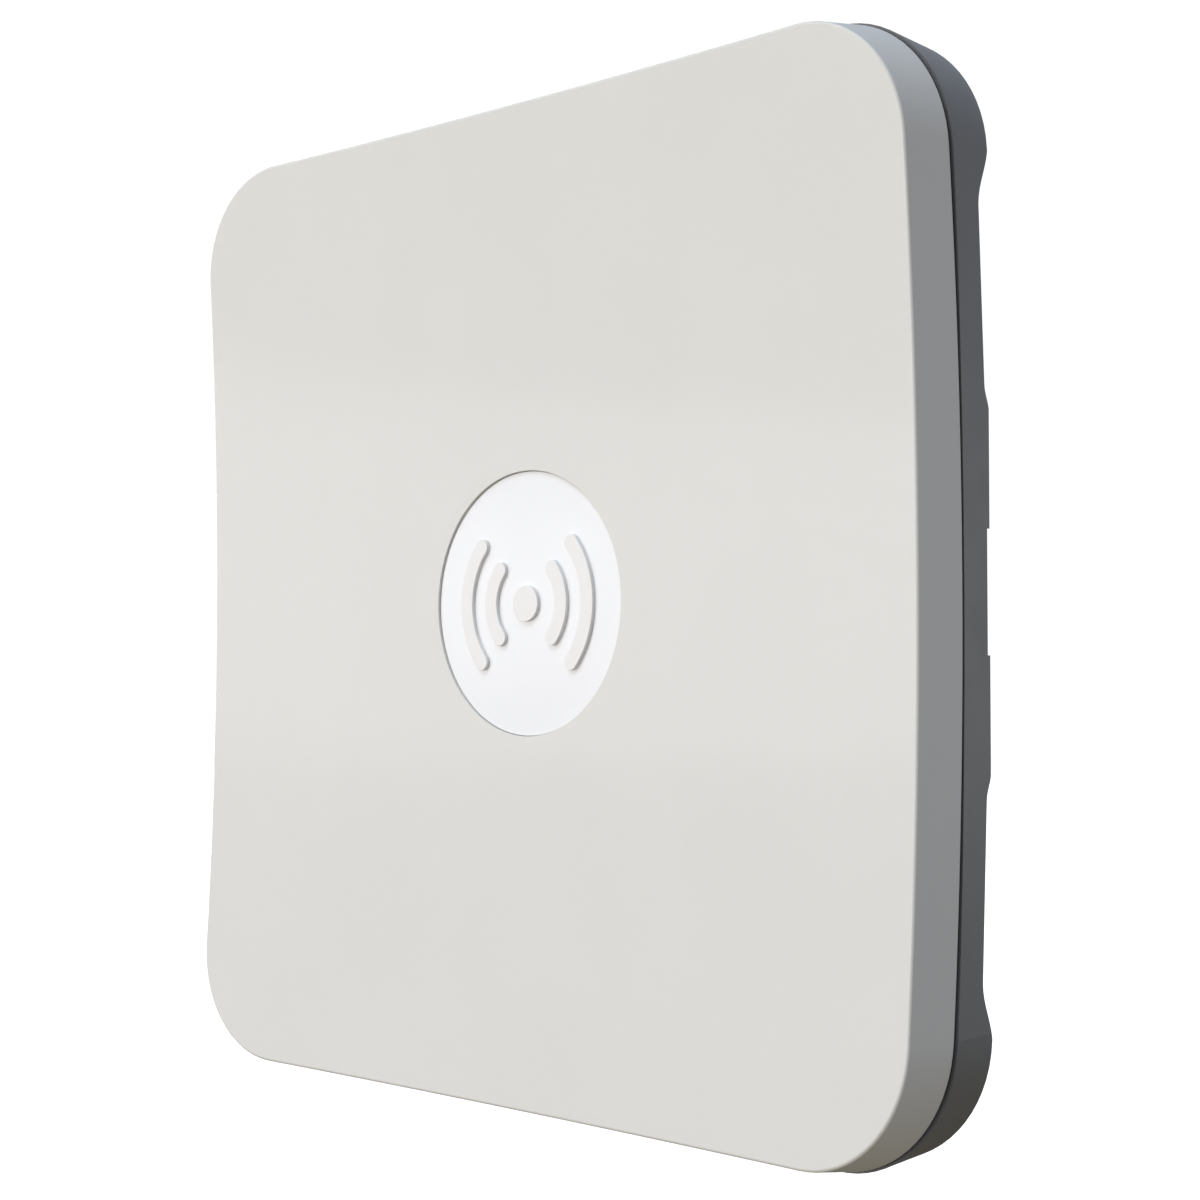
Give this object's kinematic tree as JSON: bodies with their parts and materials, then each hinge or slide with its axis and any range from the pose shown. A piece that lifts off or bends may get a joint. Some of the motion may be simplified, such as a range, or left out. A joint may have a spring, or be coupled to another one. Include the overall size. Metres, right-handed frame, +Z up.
{
  "type": "wireless access point",
  "caption": "Flat square access point with rounded corners, a dished light front cover, a round white badge and a dark rear shell that hooks onto a mounting plate.",
  "frame": {"origin": "centre of the mounting plate's four wall screw holes, in the plane of the wall or ceiling", "axes": "+X to the right, +Z up, and +Y into the wall or ceiling, so the front face looks along -Y"},
  "size_m": [0.18, 0.0224, 0.18],
  "materials": {
    "cover_plastic": "fine matt moulded polycarbonate, warm light grey",
    "shell_plastic": "fine textured moulded plastic, dark grey",
    "badge_plastic": "smooth white",
    "soft_rubber": "black silicone rubber",
    "plate_plastic": "glass-filled nylon, dark grey",
    "latch_plastic": "acetal, off white",
    "plated_steel": "zinc-plated steel",
    "label_film": "polyester label with no print",
    "vent_plastic": "black",
    "clear_plastic": "clear polycarbonate",
    "button_plastic": "white",
    "switch_plastic": "black",
    "board_laminate": "green solder mask on glass laminate",
    "ground_sheet": "bright rolled sheet",
    "patch_metal": "gold-flashed antenna sheet",
    "spacer_plastic": "natural nylon",
    "chip_epoxy": "black moulded epoxy",
    "can_tinplate": "tinplate",
    "gap_pad": "soft blue-grey silicone",
    "jack_tinplate": "nickel-plated sheet",
    "jack_plastic": "black nylon",
    "contact_gold": "gold-plated spring wire",
    "ferrite": "dark ferrite",
    "capacitor_can": "aluminium can",
    "led_resin": "milky resin"
  },
  "bodies": {
    "mount": {"mounting_plate": "plate_plastic", "hanger_pegs": "plated_steel", "latch_pin": "plated_steel"},
    "latch": {"latch_lever": "latch_plastic"},
    "unit": {"front_cover": "cover_plastic", "badge": "badge_plastic", "cover_gasket": "soft_rubber", "rear_shell": "shell_plastic", "rubber_feet": "soft_rubber", "case_screws": "plated_steel", "rating_label": "label_film", "breather_vent": "vent_plastic", "light_pipes": "clear_plastic", "cable_grommet": "soft_rubber", "reset_switch": "switch_plastic", "main_board": "board_laminate", "board_screws": "plated_steel", "ground_plane": "ground_sheet", "patch_antennas": "patch_metal", "patch_spacers": "spacer_plastic", "feed_pins": "contact_gold", "processor_chip": "chip_epoxy", "memory_chips": "chip_epoxy", "processor_shield": "can_tinplate", "radio_chips": "chip_epoxy", "radio_shields": "can_tinplate", "thermal_pads": "gap_pad", "jack_shell": "jack_tinplate", "jack_insert": "jack_plastic", "jack_contacts": "contact_gold", "lan_transformer": "chip_epoxy", "power_inductors": "ferrite", "capacitors": "capacitor_can", "status_leds": "led_resin"},
    "door": {"port_door": "shell_plastic"},
    "button": {"reset_button": "button_plastic"}
  },
  "joints": [
    {"name": "unit_slide", "type": "slide", "parent": "mount", "child": "unit", "axis": [0, 0, 1], "range_m": [0, 0.012]},
    {"name": "latch_hinge", "type": "hinge", "parent": "mount", "child": "latch", "pos_m": [0, -0.0019, 0.012], "axis": [1, 0, 0], "range_deg": [0, 2.2], "stiffness_Nm_per_rad": 0.02, "springref_deg": -2.86},
    {"name": "door_slide", "type": "slide", "parent": "unit", "child": "door", "axis": [0, 0, -1], "range_m": [0, 0.02]},
    {"name": "reset_press", "type": "slide", "parent": "unit", "child": "button", "axis": [0, 0, 1], "range_m": [0, 0.0008], "stiffness_N_per_m": 800, "springref_m": -0.0005}
  ],
  "couplings": [
    {"joint": "latch_hinge", "follows": "unit_slide", "rad_per_m": 3.19}
  ]
}
